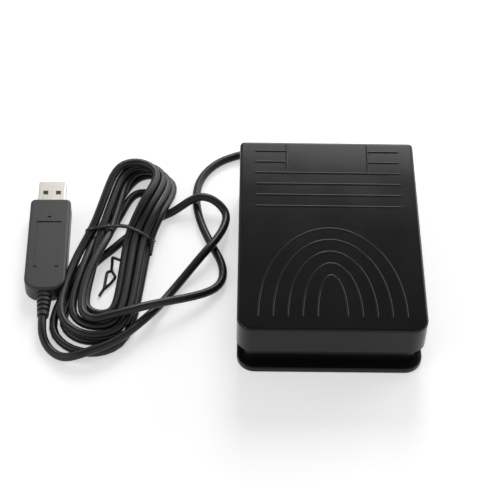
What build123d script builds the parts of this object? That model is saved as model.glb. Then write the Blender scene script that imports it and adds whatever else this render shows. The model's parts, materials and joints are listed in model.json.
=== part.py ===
from build123d import *
from math import cos, radians, sin, sqrt, tan
import os

# USB foot pedal switch, millimetres. X to the right, Y to the rear where the lead
# leaves, Z up. The origin is on the floor, under the middle of the pedal.

# Pedal cover, the rocking upper shell
cover_length = 98.0
cover_front_width = 77.0
cover_rear_width = 74.6
cover_front_height = 28.0
top_tilt_deg = 2.5
cover_wall = 2.0
cover_top_wall = 2.4
cover_front_corner = 6.5
cover_rear_corner = 2.0
cover_edge_radius = 1.2
skirt_lift = 5.0

# Raised grip ridges on the cover
ridge_pitch = 6.0
ridge_width = 1.0
ridge_sink = 0.1
arch_count = 5
arch_foot_inset = 6.8
arch_rise = 20.2
line_count = 6
line_first_inset = 5.4
line_half_length = 30.5
plate_half_width = 17.3
plate_line_count = 2

# Rocking hinge at the rear
travel_deg = 6.0
hinge_inset = 15.5
hinge_height = 9.0
pin_radius = 1.5
pin_running_gap = 0.05
pin_length = 14.4
ear_radius = 4.0
ear_thickness = 2.6
lug_thickness = 4.0
ear_side_gap = 0.4
hinge_spread = 24.0
clip_outer_radius = 3.0
clip_thickness = 0.6
clip_mouth = 2.2

# Base tray
flange_lead = 1.0
flange_rear_inset = 4.5
flange_thickness = 2.6
flange_corner = 7.5
flange_side_inset = 0.3
base_wall = 2.0
base_wall_gap = 1.0
base_wall_corner = 4.0
base_front_wall_height = 16.0
base_rear_wall_height = 23.0
base_rear_inset = 7.5

# Rubber feet
foot_proud = 0.6
foot_sink = 1.0
foot_radius = 5.0
foot_inset_x = 9.0
foot_inset_y = 9.0

# Up stop hooks, down stop bumpers
hook_spread = 22.0
hook_width = 6.0
hook_inset = 10.5
hook_leg = 2.2
hook_barb = 2.4
hook_barb_height = 2.0
hook_bottom = 12.0
stop_gap = 0.3
bridge_post = 2.4
bridge_bar_height = 2.2
bumper_spread = 12.0
bumper_inset = 10.5
bumper_radius = 3.0
bumper_height = 3.0
bumper_stem_radius = 1.3
bumper_stem = 2.5
bumper_post_radius = 4.0

# Return springs
spring_spread = 16.0
spring_radius = 4.4
spring_wire = 1.1
spring_turns = 6.5
spring_boss_gap = 0.4
spring_boss_height = 3.5
spring_seat_gap = 0.15

# Steel ballast plate on bosses
plate_width = 58.0
plate_rear_gap = 1.6
plate_thickness = 2.0
plate_front_inset = 18.5
plate_boss_height = 3.0
plate_boss_radius = 3.0
plate_boss_inset = 5.0
plate_spring_hole = 7.0
plate_corner = 3.0

# Screws
screw_radius = 1.3
screw_head_radius = 2.4
screw_head_height = 1.6
screw_slot_width = 0.7
screw_slot_depth = 0.7
screw_slot_share = 0.62
screw_tip = 4.0

# Microswitch, standing on edge behind its post
switch_length = 19.8
switch_thickness = 6.4
switch_height = 10.2
switch_edge = 0.4
switch_hole_radius = 1.25
switch_hole_spacing = 9.5
switch_hole_height = 2.5
switch_bottom = 8.5
switch_inset = 33.0
switch_post = 3.0
switch_post_side = 2.0
lever_length = 19.0
lever_width = 4.0
lever_thickness = 0.4
lever_open_deg = 11.0
lever_pivot_inset = 1.2
lever_pivot_rise = 0.9
lever_barrel_radius = 0.8
lever_pin_radius = 0.45
lever_contact = 16.5
plunger_width = 3.0
plunger_length = 2.0
plunger_inset = 6.4
plunger_gap = 0.25
plunger_depth = 2.6
plunger_side_gap = 0.1
pusher_gap = 0.35
pusher_thickness = 2.0
pusher_width = 5.0
terminal_width = 3.2
terminal_thickness = 0.5
terminal_drop = 3.4
terminal_hole_radius = 0.65
terminal_spacing = 7.3

# Lead, gland and inner wiring
cable_diameter = 3.6
gland_x = -14.0
gland_height = 8.0
gland_flange_radius = 4.6
gland_flange = 1.6
gland_neck_radius = 3.4
gland_tail_root = 3.2
gland_tail_end = 2.5
gland_out = 6.0
gland_groove_count = 4
gland_groove = 0.7
gland_groove_depth = 0.45
notch_width = 12.0
notch_height = 14.0
inner_cable_proud = 2.5
clamp_width = 16.0
clamp_length = 6.0
clamp_thickness = 2.0
clamp_inset = 24.0
wire_radius = 0.65
wire_spread = 0.85
wire_lead = 3.2
wire_bow = 4.5
wire_tail = 3.6
wire_end_gap = 0.05

# Plug on the end of the lead, lying flat
plug_x = -119.4
plug_y = 10.5
plug_angle_deg = 0.8
plug_length = 50.0
plug_width = 17.5
plug_height = 9.0
plug_wall = 1.6
plug_front_corner = 2.2
plug_rear_corner = 6.5
plug_edge_radius = 1.1
plug_panel_width = 10.6
plug_panel_length = 23.0
plug_panel_depth = 0.35
plug_panel_shift = 0.6
plug_dimple_radius = 0.8
plug_dimple_shift = 4.5
plug_dimple_gap = 2.2
shell_width = 12.0
shell_height = 4.5
shell_length = 11.7
shell_tail = 6.0
shell_wall = 0.3
shell_corner = 0.5
shell_window = 2.2
shell_window_spacing = 5.6
shell_window_inset = 5.2
tongue_width = 11.1
tongue_thickness = 1.8
tongue_inset = 0.8
contact_width = 1.0
contact_thickness = 0.2
contact_count = 4
contact_pitch = 2.2
contact_length = 8.0
board_width = 13.2
board_length = 32.0
board_thickness = 1.0
board_gap = 0.3
chip_side = 6.0
chip_height = 1.3
crystal_length = 8.0
crystal_width = 3.4
crystal_height = 1.4
crystal_round_share = 0.45
relief_length = 11.0
relief_root_radius = 3.3
relief_end_radius = 2.4
relief_rib_count = 4
relief_rib_gap = 1.1
relief_rib_depth = 0.6
fit_gap = 0.1

# Hank, a folded bundle of turns drawn in at the waist
hank_x = -87.5
hank_y = 18.0
hank_lean_deg = 12.5
turn_step = 4.2
layer_step = 4.35
floor_gap = 0.15
waist_half = 12.6
waist_shift = -0.2
top_half = 15.8
top_centre = 28.0
top_shift = 1.2
bottom_half = 16.6
bottom_centre = -42.8
bottom_shift = 0.2
tie_lift = 1.45
bundle_lift = 5.3
bundle_lift_start = 15.0
tie_radius = 0.5
tie_gap = 0.3
tie_twist_radius = 0.75
tie_twist_length = 10.0
tie_twist_bend = 3.0

overrun = 5.0
bend_run_share = 0.45
straight_end_share = 2.0
hank_end_share = 1.25
own_run_share = 3.0
no_turn = 1e-9

# Places worked out from the sizes above
front_y = -(cover_length + flange_lead) / 2
rear_y = -front_y
cover_front_y = front_y + flange_lead
tilt = tan(radians(top_tilt_deg))
top_wall_rise = cover_top_wall / cos(radians(top_tilt_deg))
hinge_y = rear_y - hinge_inset
flange_bottom = foot_proud
floor_z = flange_bottom + flange_thickness
cable_radius = cable_diameter / 2


def top_z(y):
    """Height of the cover's outer top at a place along the pedal."""
    return cover_front_height + (y - cover_front_y) * tilt


def ceiling_z(y):
    """Height of the cover's inner ceiling."""
    return top_z(y) - top_wall_rise


def pressed_z(y, z):
    """Height that a point of the cover has at full travel."""
    turn = radians(travel_deg)
    return hinge_height + (y - hinge_y) * sin(turn) + (z - hinge_height) * cos(turn)


def plan(y0, y1, half0, half1, corner0, corner1):
    """Plan outline, a little wider at the front, with rounded corners."""
    corners = [(-half0, y0), (half0, y0), (half1, y1), (-half1, y1)]
    outline = make_face(Polyline(*corners, close=True))
    outline = fillet(outline.vertices().sort_by(Axis.Y)[0:2], corner0)
    return fillet(outline.vertices().sort_by(Axis.Y)[-2:], corner1)


def side_cut(points, half):
    """Solid of a side profile given as (y, z) points, as wide as twice half."""
    outline = Plane.YZ * make_face(Polyline(*points, close=True))
    return extrude(outline, half, both=True)


def block(x0, x1, y0, y1, z0, z1):
    """Box between two corners."""
    return Pos((x0 + x1) / 2, (y0 + y1) / 2, (z0 + z1) / 2) * Box(x1 - x0, y1 - y0, z1 - z0)


def rod(x, y, z0, z1, radius):
    """Upright cylinder between two heights."""
    return Pos(x, y, (z0 + z1) / 2) * Cylinder(radius, z1 - z0)


def rod_x(x0, x1, y, z, radius):
    """Cylinder along X between two places."""
    return Pos((x0 + x1) / 2, y, z) * Rot(0, 90, 0) * Cylinder(radius, x1 - x0)


def rod_y(x, y0, y1, z, radius):
    """Cylinder along Y between two places."""
    return Pos(x, (y0 + y1) / 2, z) * Rot(90, 0, 0) * Cylinder(radius, y1 - y0)


def tube(points, radius, name):
    """Round tube along straight runs joined by the largest tangent arcs."""
    places = [Vector(*p) for p in points]
    runs = [places[i + 1] - places[i] for i in range(len(places) - 1)]
    radii = []
    for a, b in zip(runs[:-1], runs[1:]):
        half_turn = radians(a.get_angle(b)) / 2
        radii.append(bend_run_share * min(a.length, b.length) / tan(half_turn))
    path = FilletPolyline(*places, radius=radii)
    section = Plane(places[0], z_dir=runs[0]) * Circle(radius)
    solid = sweep(section, path=path)
    share = solid.volume / (section.area * path.length)
    print(name, "length", round(path.length, 1), "radii", [round(r, 1) for r in radii],
          "runs", [round(r.length, 1) for r in runs], "volume share", round(share, 4))
    return solid


# Pedal cover
half_front = cover_front_width / 2
half_rear = cover_rear_width / 2


def skirt_z(y):
    """Height of the skirt's lower edge, level with the flange at full travel."""
    return skirt_lift + (hinge_y - y) * tan(radians(travel_deg))


def cover_outline(inset):
    """Cover's plan, drawn in by a wall."""
    return plan(cover_front_y + inset, rear_y - inset, half_front - inset, half_rear - inset,
                cover_front_corner - inset, max(cover_rear_corner - inset, cover_edge_radius / 2))


def cover_profile(y0, y1, drop):
    """Cover's side profile between two places, under the top by a drop."""
    return [(y0, skirt_z(y0)), (y1, skirt_z(y1)), (y1, top_z(y1) - drop), (y0, top_z(y0) - drop)]


def ridge_plane(x, y):
    """Plane on the cover's top, its X to the right and its Y up the slope."""
    up = Vector(0, -sin(radians(top_tilt_deg)), cos(radians(top_tilt_deg)))
    return Plane(Vector(x, y, top_z(y)) - up * ridge_sink, x_dir=(1, 0, 0), z_dir=up)


def make_ridges():
    """Five nested arches at the front, ruled lines and a plain plate at the rear."""
    bead = ridge_width / 2
    ridges = []
    foot_y = cover_front_y + arch_foot_inset
    for k in range(arch_count):
        across = ridge_pitch * (k + 1)
        rise = arch_rise + ridge_pitch * k
        path = ridge_plane(0, foot_y) * EllipticalCenterArc((0, 0), across, rise, start_angle=0,
                                                            arc_size=180)
        section = Plane(path @ 0, z_dir=path % 0) * Circle(bead)
        ridges.append(sweep(section, path=path))
        for side in (-1, 1):
            ridges.append(ridge_plane(side * across, foot_y) * Sphere(bead))
    slope = Rot(-90 + top_tilt_deg, 0, 0)
    for k in range(line_count):
        y = rear_y - line_first_inset - ridge_pitch * k
        spans = [(-line_half_length, line_half_length)]
        if k < plate_line_count:
            spans = [(-line_half_length, -plate_half_width), (plate_half_width, line_half_length)]
        for x0, x1 in spans:
            centre = ridge_plane((x0 + x1) / 2, y).origin
            ridges.append(Pos(centre) * Rot(0, 90, 0) * Cylinder(bead, x1 - x0))
            for x in (x0, x1):
                ridges.append(ridge_plane(x, y) * Sphere(bead))
    last_y = rear_y - line_first_inset - ridge_pitch * plate_line_count
    end_y = rear_y - cover_edge_radius - bead
    for side in (-1, 1):
        middle = ridge_plane(side * plate_half_width, (last_y + end_y) / 2)
        span = (end_y - last_y) / cos(radians(top_tilt_deg))
        ridges.append(Pos(middle.origin) * slope * Cylinder(bead, span))
        ridges.append(ridge_plane(side * plate_half_width, end_y) * Sphere(bead))
    return ridges


switch_y = rear_y - switch_inset
switch_top = switch_bottom + switch_height
pivot_y = switch_y + switch_length / 2 - lever_pivot_inset
pivot_z = switch_top + lever_pivot_rise
contact_y = pivot_y - lever_contact * cos(radians(lever_open_deg))
contact_z = (pivot_z + (lever_contact + pusher_thickness / 2) * sin(radians(lever_open_deg))
             + lever_barrel_radius * cos(radians(lever_open_deg)))
hook_y = front_y + hook_inset
post_front_y = switch_y - switch_length / 2 - switch_post_side
plate_y0 = front_y + plate_front_inset
plate_y1 = post_front_y - plate_rear_gap
spring_y = (plate_y0 + plate_y1) / 2
bumper_y = front_y + bumper_inset


def make_cover():
    outer = extrude(cover_outline(0), cover_front_height + cover_length * tilt + overrun)
    outer = outer & side_cut(cover_profile(cover_front_y - overrun, rear_y + overrun, 0),
                             half_front + overrun)
    slope = top_z(0) - overrun
    rim = [e for e in outer.edges() if e.center().Z > slope
           and abs(e.center().Z - top_z(e.center().Y)) < cover_edge_radius / 2]
    outer = fillet(rim, cover_edge_radius)
    inner = extrude(cover_outline(cover_wall), cover_front_height + cover_length * tilt + overrun)
    low = [(cover_front_y, 0), (rear_y, 0), (rear_y, ceiling_z(rear_y)),
           (cover_front_y, ceiling_z(cover_front_y))]
    cover = outer - (inner & side_cut(low, half_front))
    notch = block(gland_x - notch_width / 2, gland_x + notch_width / 2, rear_y - cover_wall - overrun,
                  rear_y + overrun, 0, notch_height - notch_width / 2)
    notch += rod_y(gland_x, rear_y - cover_wall - overrun, rear_y + overrun,
                   notch_height - notch_width / 2, notch_width / 2)
    cover -= notch

    within = outer & side_cut([(cover_front_y, 0), (rear_y, 0), (rear_y, top_z(rear_y) - cover_wall),
                               (cover_front_y, top_z(cover_front_y) - cover_wall)], half_front)
    roof = top_z(rear_y)
    features = []
    for side in (-1, 1):
        for away in (-1, 1):
            inside = lug_thickness / 2 + ear_side_gap
            x = side * hinge_spread + away * (inside + ear_thickness / 2)
            ear = block(x - ear_thickness / 2, x + ear_thickness / 2, hinge_y - ear_radius,
                        hinge_y + ear_radius, hinge_height, roof)
            ear += rod_x(x - ear_thickness / 2, x + ear_thickness / 2, hinge_y, hinge_height, ear_radius)
            ear -= rod_x(x - ear_thickness, x + ear_thickness, hinge_y, hinge_height,
                         pin_radius + pin_running_gap)
            features.append(ear)
        x = side * hook_spread
        leg = block(x - hook_width / 2, x + hook_width / 2, hook_y, hook_y + hook_leg, hook_bottom, roof)
        leg += block(x - hook_width / 2, x + hook_width / 2, hook_y, hook_y + hook_leg + hook_barb,
                     hook_bottom, hook_bottom + hook_barb_height)
        features.append(leg)
        boss_top = ceiling_z(spring_y)
        features.append(rod(side * spring_spread, spring_y, boss_top - spring_boss_height, roof,
                            spring_radius - spring_wire / 2 - spring_boss_gap))
    pusher = block(-pusher_width / 2, pusher_width / 2, contact_y - pusher_thickness / 2,
                   contact_y + pusher_thickness / 2, contact_z + pusher_gap, roof)
    features.append(pusher)
    cover = cover + [f & within for f in features]
    for ridge in make_ridges():
        cover += ridge
    return cover


# Base tray
def base_outline(inset):
    """Plan of the base wall, drawn in by an inset."""
    first = cover_front_y + cover_wall + base_wall_gap + inset
    last = rear_y - base_rear_inset - inset
    away = cover_wall + base_wall_gap + inset
    return plan(first, last, half_front - away, half_rear - away,
                base_wall_corner - inset, base_wall_corner - inset)


flange_rear_y = rear_y - flange_rear_inset
base_front_y = cover_front_y + cover_wall + base_wall_gap
base_rear_y = rear_y - base_rear_inset
bumper_seat = pressed_z(bumper_y, ceiling_z(bumper_y)) - stop_gap - bumper_height
bridge_bottom = hook_bottom + hook_barb_height + stop_gap
bridge_y0 = hook_y + hook_leg + stop_gap
bridge_y1 = hook_y + hook_leg + hook_barb + stop_gap
plate_bottom = floor_z + plate_boss_height
plate_places = [(sx * (plate_width / 2 - plate_boss_inset), y) for sx in (-1, 1)
                for y in (plate_y0 + plate_boss_inset, plate_y1 - plate_boss_inset)]
post_x0 = switch_thickness / 2
post_x1 = post_x0 + switch_post
switch_hole_places = [(switch_y + side * switch_hole_spacing / 2, switch_bottom + switch_hole_height)
                      for side in (-1, 1)]
foot_places = [(sx * (half_front - foot_inset_x), y) for sx in (-1, 1)
               for y in (front_y + foot_inset_y, flange_rear_y - foot_inset_y)]
clamp_y = rear_y - clamp_inset
clamp_top = gland_height + cable_radius
clamp_screw_spread = clamp_width / 2 - screw_head_radius


def make_base():
    flange = extrude(plan(front_y, flange_rear_y, half_front - flange_side_inset,
                          half_rear - flange_side_inset, flange_corner, flange_corner),
                     flange_thickness)
    flange = Pos(0, 0, flange_bottom) * flange
    rim = flange.faces().sort_by(Axis.Z)[-1].edges()
    flange = fillet(rim, flange_thickness / 4)
    wall = extrude(base_outline(0), base_rear_wall_height) - extrude(base_outline(base_wall),
                                                                      base_rear_wall_height)
    wall &= side_cut([(base_front_y, flange_bottom + flange_thickness / 2),
                      (base_rear_y, flange_bottom + flange_thickness / 2),
                      (base_rear_y, base_rear_wall_height), (base_front_y, base_front_wall_height)],
                     half_front)
    base = flange + wall
    base -= rod_y(gland_x, base_rear_y - base_wall - overrun, base_rear_y + overrun, gland_height,
                  gland_neck_radius)
    for x, y in foot_places:
        base -= rod(x, y, 0, flange_bottom + foot_sink, foot_radius)
    for side in (-1, 1):
        x = side * hinge_spread
        lug = block(x - lug_thickness / 2, x + lug_thickness / 2, hinge_y - ear_radius,
                    hinge_y + ear_radius, floor_z, hinge_height)
        lug += rod_x(x - lug_thickness / 2, x + lug_thickness / 2, hinge_y, hinge_height, ear_radius)
        base += lug - rod_x(x - lug_thickness, x + lug_thickness, hinge_y, hinge_height, pin_radius)
        x = side * hook_spread
        x0 = x - hook_width / 2 - stop_gap
        x1 = x + hook_width / 2 + stop_gap
        base += block(x0 - bridge_post, x1 + bridge_post, bridge_y0, bridge_y1, bridge_bottom,
                      bridge_bottom + bridge_bar_height)
        base += block(x0 - bridge_post, x0, bridge_y0, bridge_y1, floor_z, bridge_bottom)
        base += block(x1, x1 + bridge_post, bridge_y0, bridge_y1, floor_z, bridge_bottom)
        x = side * bumper_spread
        post = rod(x, bumper_y, floor_z, bumper_seat, bumper_post_radius)
        base += post - rod(x, bumper_y, bumper_seat - bumper_stem, bumper_seat, bumper_stem_radius)
        base += rod(side * spring_spread, spring_y, floor_z, floor_z + spring_boss_height,
                    spring_radius - spring_wire / 2 - spring_boss_gap)
    for x, y in plate_places:
        boss = rod(x, y, floor_z, plate_bottom, plate_boss_radius)
        base += boss - rod(x, y, plate_bottom - screw_tip + plate_thickness, plate_bottom, screw_radius)
    post_top = switch_bottom + switch_height - switch_edge
    post = block(post_x0, post_x1, post_front_y,
                 switch_y + switch_length / 2 + switch_post_side, floor_z, post_top)
    for y, z in switch_hole_places:
        post -= rod_x(post_x0, post_x1, y, z, switch_hole_radius)
    base += post
    bed = block(gland_x - clamp_width / 2, gland_x + clamp_width / 2, clamp_y - clamp_length / 2,
                clamp_y + clamp_length / 2, floor_z, gland_height)
    bed -= rod_y(gland_x, clamp_y - clamp_length, clamp_y + clamp_length, gland_height, cable_radius)
    for side in (-1, 1):
        bed -= rod(gland_x + side * clamp_screw_spread, clamp_y,
                   gland_height + clamp_thickness - screw_tip, gland_height, screw_radius)
    return base + bed


def make_feet():
    return [fillet((rod(x, y, 0, flange_bottom + foot_sink, foot_radius)).edges().sort_by(Axis.Z)[0],
                   foot_proud / 2) for x, y in foot_places]


def screw(x, y, z, length, radius=screw_radius):
    """Pan head screw with its seat at a height, pointing down."""
    body = rod(x, y, z - length, z, radius)
    head = rod(x, y, z, z + screw_head_height, screw_head_radius)
    head = fillet(head.edges().sort_by(Axis.Z)[-1], screw_head_height / 2)
    slot = screw_slot_width / 2
    reach = screw_head_radius * screw_slot_share
    top = z + screw_head_height
    for wide, deep in ((reach, slot), (slot, reach)):
        head -= block(x - wide, x + wide, y - deep, y + deep, top - screw_slot_depth, top)
    return body + head


def make_plate():
    plate = block(-plate_width / 2, plate_width / 2, plate_y0, plate_y1, plate_bottom,
                  plate_bottom + plate_thickness)
    plate = fillet(plate.edges().filter_by(Axis.Z), plate_corner)
    for x, y in plate_places:
        plate -= rod(x, y, plate_bottom, plate_bottom + plate_thickness, screw_radius + fit_gap)
    for side in (-1, 1):
        plate -= rod(side * spring_spread, spring_y, plate_bottom, plate_bottom + plate_thickness,
                     plate_spring_hole)
    return plate


def make_plate_screws():
    return [screw(x, y, plate_bottom + plate_thickness, screw_tip) for x, y in plate_places]


def make_bumpers():
    bumpers = []
    for side in (-1, 1):
        x = side * bumper_spread
        pad = rod(x, bumper_y, bumper_seat, bumper_seat + bumper_height, bumper_radius)
        pad = fillet(pad.edges().sort_by(Axis.Z)[-1], bumper_height / 4)
        bumpers.append(pad + rod(x, bumper_y, bumper_seat - bumper_stem, bumper_seat, bumper_stem_radius))
    return bumpers


def make_spring(side):
    bottom = floor_z + spring_seat_gap + spring_wire / 2
    top = ceiling_z(spring_y) - spring_radius * tilt - spring_seat_gap - spring_wire / 2
    height = top - bottom
    path = Helix(pitch=height / spring_turns, height=height, radius=spring_radius)
    section = Plane(path @ 0, z_dir=path % 0) * Circle(spring_wire / 2)
    return Pos(side * spring_spread, spring_y, bottom) * sweep(section, path=path, is_frenet=True)


def make_pins():
    return [rod_x(side * hinge_spread - pin_length / 2, side * hinge_spread + pin_length / 2,
                  hinge_y, hinge_height, pin_radius) for side in (-1, 1)]


def make_pin_clips():
    """Snap rings that hold each pin against its ears, open at the bottom."""
    clips = []
    for side in (-1, 1):
        for away in (-1, 1):
            face = lug_thickness / 2 + ear_side_gap + ear_thickness + stop_gap
            x = side * hinge_spread + away * (face + clip_thickness / 2)
            ring = rod_x(x - clip_thickness / 2, x + clip_thickness / 2, hinge_y, hinge_height,
                         clip_outer_radius)
            ring -= rod_x(x - clip_thickness, x + clip_thickness, hinge_y, hinge_height, pin_radius)
            ring -= block(x - clip_thickness, x + clip_thickness, hinge_y - clip_mouth / 2,
                          hinge_y + clip_mouth / 2, hinge_height - clip_outer_radius, hinge_height)
            clips.append(ring)
    return clips


# Microswitch
def make_switch_body():
    half = switch_thickness / 2
    body = block(-half, half, switch_y - switch_length / 2, switch_y + switch_length / 2,
                 switch_bottom, switch_top)
    body = fillet(body.edges().filter_by(Axis.X), switch_edge)
    for y, z in switch_hole_places:
        body -= rod_x(-half, half, y, z, switch_hole_radius)
    py = pivot_y - plunger_inset
    body -= block(-plunger_width / 2 - plunger_side_gap, plunger_width / 2 + plunger_side_gap,
                  py - plunger_length / 2 - plunger_side_gap, py + plunger_length / 2 + plunger_side_gap,
                  switch_top - plunger_depth, switch_top)
    for side in (-1, 1):
        x = side * (lever_width / 2 + lever_thickness)
        cheek = block(x - lever_thickness / 2, x + lever_thickness / 2, pivot_y - lever_barrel_radius,
                      pivot_y + lever_barrel_radius, switch_top - switch_edge, pivot_z)
        cheek += rod_x(x - lever_thickness / 2, x + lever_thickness / 2, pivot_y, pivot_z,
                       lever_barrel_radius)
        body += cheek
    return body + rod_x(-lever_width / 2 - lever_thickness, lever_width / 2 + lever_thickness, pivot_y,
                        pivot_z, lever_pin_radius)


def make_switch_lever():
    """Spring steel leaf with a rolled end round the pivot, open at rest."""
    half = lever_width / 2 - fit_gap
    leaf = block(-half, half, -lever_length, 0, lever_barrel_radius - lever_thickness,
                 lever_barrel_radius)
    leaf += rod_x(-half, half, 0, 0, lever_barrel_radius)
    leaf -= rod_x(-half - fit_gap, half + fit_gap, 0, 0, lever_pin_radius + pin_running_gap)
    return Pos(0, pivot_y, pivot_z) * Rot(-lever_open_deg, 0, 0) * leaf


def make_switch_plunger():
    py = pivot_y - plunger_inset
    under = lever_barrel_radius - lever_thickness
    reach = plunger_inset - plunger_length / 2
    rise = pivot_z + reach * sin(radians(lever_open_deg)) + under * cos(radians(lever_open_deg))
    top = rise - plunger_gap
    pad = block(-plunger_width / 2, plunger_width / 2, py - plunger_length / 2,
                py + plunger_length / 2, switch_top - plunger_depth / 2, top)
    return fillet(pad.edges().filter_by(Axis.X).sort_by(Axis.Z)[-2:], plunger_length / 4)


def make_terminals():
    tags = []
    for place in (-1, 0, 1):
        y = switch_y + place * terminal_spacing
        tag = block(-terminal_thickness / 2, terminal_thickness / 2, y - terminal_width / 2,
                    y + terminal_width / 2, switch_bottom - terminal_drop, switch_bottom)
        tag -= rod_x(-terminal_thickness, terminal_thickness, y, switch_bottom - terminal_drop / 2,
                     terminal_hole_radius)
        tags.append(tag)
    return tags


def make_switch_screws():
    screws = []
    for y, z in switch_hole_places:
        upright = screw(0, 0, 0, switch_thickness + switch_post, switch_hole_radius)
        screws.append(Pos(-switch_thickness / 2, y, z) * Rot(0, -90, 0) * upright)
    return screws


# Gland, inner cable and wires
gland_wall_y = base_rear_y - base_wall
gland_end = rear_y + gland_out
gland_bore_end = base_rear_y + gland_flange
inner_end = clamp_y - clamp_length / 2 - inner_cable_proud


def make_gland():
    """Grommet in the base wall, its tapered sleeve moulded on the lead."""
    body = rod_y(gland_x, gland_wall_y - gland_flange, gland_wall_y, gland_height, gland_flange_radius)
    body += rod_y(gland_x, gland_wall_y, base_rear_y, gland_height, gland_neck_radius)
    body += rod_y(gland_x, base_rear_y, base_rear_y + gland_flange, gland_height, gland_flange_radius)
    start = base_rear_y + gland_flange
    length = gland_end - start
    tail = Cone(gland_tail_root, gland_tail_end, length)
    body += Pos(gland_x, start + length / 2, gland_height) * Rot(-90, 0, 0) * tail
    for k in range(gland_groove_count):
        y = start + length * (k + 1) / (gland_groove_count + 1)
        share = (y - start) / length
        outer = gland_tail_root + (gland_tail_end - gland_tail_root) * share
        groove = rod_y(gland_x, y - gland_groove / 2, y + gland_groove / 2, gland_height,
                       outer + gland_groove)
        groove -= rod_y(gland_x, y - gland_groove, y + gland_groove, gland_height,
                        outer - gland_groove_depth)
        body -= groove
    return body - rod_y(gland_x, gland_wall_y - overrun, gland_bore_end, gland_height, cable_radius)


def make_inner_cable():
    return rod_y(gland_x, inner_end, gland_bore_end, gland_height, cable_radius)


def make_clamp():
    strap = block(gland_x - clamp_width / 2, gland_x + clamp_width / 2, clamp_y - clamp_length / 2,
                  clamp_y + clamp_length / 2, gland_height, clamp_top + clamp_thickness)
    for side in (-1, 1):
        x0 = gland_x + side * clamp_width / 2
        x1 = gland_x + side * (cable_radius + clamp_thickness / 2)
        strap -= block(min(x0, x1), max(x0, x1), clamp_y - clamp_length, clamp_y + clamp_length,
                       gland_height + clamp_thickness, clamp_top + clamp_thickness + overrun)
        strap -= rod(gland_x + side * clamp_screw_spread, clamp_y, gland_height,
                     gland_height + clamp_thickness, screw_radius + fit_gap)
        strap -= rod(gland_x + side * clamp_screw_spread, clamp_y, gland_height + clamp_thickness,
                     clamp_top + clamp_thickness + overrun, screw_head_radius + fit_gap)
    return strap - rod_y(gland_x, clamp_y - clamp_length, clamp_y + clamp_length, gland_height,
                         cable_radius)


def make_clamp_screws():
    return [screw(gland_x + side * clamp_screw_spread, clamp_y, gland_height + clamp_thickness, screw_tip)
            for side in (-1, 1)]


def make_wire(side, place):
    """Insulated wire from the jacket's end to a switch terminal."""
    start_x = gland_x + side * wire_spread
    turn_y = inner_end - wire_lead
    end_y = switch_y + place * terminal_spacing
    end_x = -terminal_thickness / 2 - wire_end_gap
    end_z = switch_bottom - terminal_drop / 2
    points = [(start_x, inner_end, gland_height),
              (start_x, turn_y, gland_height),
              (start_x + wire_bow, (turn_y + end_y) / 2, (gland_height + end_z) / 2),
              (end_x - wire_tail, end_y, end_z),
              (end_x, end_y, end_z)]
    return tube(points, wire_radius, "wire")


# Plug
plug_place = Pos(plug_x, plug_y, 0) * Rot(0, 0, plug_angle_deg)
plug_front = plug_length / 2
plug_mid = plug_height / 2


def plug_outer():
    """Plug's outer form, flat with a rounded tail."""
    outline = plan(-plug_front, plug_front, plug_width / 2, plug_width / 2, plug_rear_corner,
                   plug_front_corner)
    body = extrude(outline, plug_height)
    rim = body.faces().sort_by(Axis.Z)[-1].edges() + body.faces().sort_by(Axis.Z)[0].edges()
    return fillet(rim, plug_edge_radius)


def plug_inside():
    room = block(-plug_width / 2 + plug_wall, plug_width / 2 - plug_wall, -plug_front + plug_rear_corner,
                 plug_front - plug_wall, plug_wall, plug_height - plug_wall)
    room += block(-shell_width / 2 - fit_gap, shell_width / 2 + fit_gap, plug_front - plug_wall - fit_gap,
                  plug_front, plug_mid - shell_height / 2 - fit_gap, plug_mid + shell_height / 2 + fit_gap)
    tail = rod_y(0, -plug_front, -plug_front + plug_rear_corner + fit_gap, plug_mid, cable_radius)
    return room + tail


def make_plug_halves():
    body = plug_outer() - plug_inside()
    cut = block(-plug_width, plug_width, -plug_length, plug_length, plug_mid, plug_height + overrun)
    upper = body & cut
    lower = body - cut
    panel = block(-plug_panel_width / 2, plug_panel_width / 2, plug_panel_shift - plug_panel_length / 2,
                  plug_panel_shift + plug_panel_length / 2, plug_height - plug_panel_depth, plug_height)
    panel = fillet(panel.edges().filter_by(Axis.Z), plug_panel_depth)
    upper -= panel
    dimples = [(0, plug_panel_shift + plug_panel_length / 2 + plug_dimple_gap)]
    dimples += [(side * plug_dimple_shift, plug_panel_shift - plug_panel_length / 2 - plug_dimple_gap)
                for side in (-1, 1)]
    for x, y in dimples:
        upper -= rod(x, y, plug_height - plug_panel_depth, plug_height, plug_dimple_radius)
    return upper, lower


def make_plug_shell():
    y0 = plug_front - shell_tail
    y1 = plug_front + shell_length
    z0 = plug_mid - shell_height / 2
    z1 = plug_mid + shell_height / 2
    shell = block(-shell_width / 2, shell_width / 2, y0, y1, z0, z1)
    shell = fillet(shell.edges().filter_by(Axis.Y), shell_corner)
    shell -= block(-shell_width / 2 + shell_wall, shell_width / 2 - shell_wall, y0, y1, z0 + shell_wall,
                   z1 - shell_wall)
    for side in (-1, 1):
        x = side * shell_window_spacing / 2
        shell -= block(x - shell_window / 2, x + shell_window / 2, y1 - shell_window_inset - shell_window,
                       y1 - shell_window_inset, z0 - shell_wall, z1 + shell_wall)
    return shell


tongue_top = plug_mid + shell_height / 2 - shell_wall
tongue_bottom = tongue_top - tongue_thickness


def make_plug_tongue():
    return block(-tongue_width / 2, tongue_width / 2, plug_front - shell_tail,
                 plug_front + shell_length - tongue_inset, tongue_bottom, tongue_top)


def make_plug_contacts():
    y1 = plug_front + shell_length - tongue_inset - contact_width
    strips = []
    for k in range(contact_count):
        x = (k - (contact_count - 1) / 2) * contact_pitch
        strips.append(block(x - contact_width / 2, x + contact_width / 2, y1 - contact_length, y1,
                            tongue_bottom - contact_thickness, tongue_bottom))
    return strips


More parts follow.
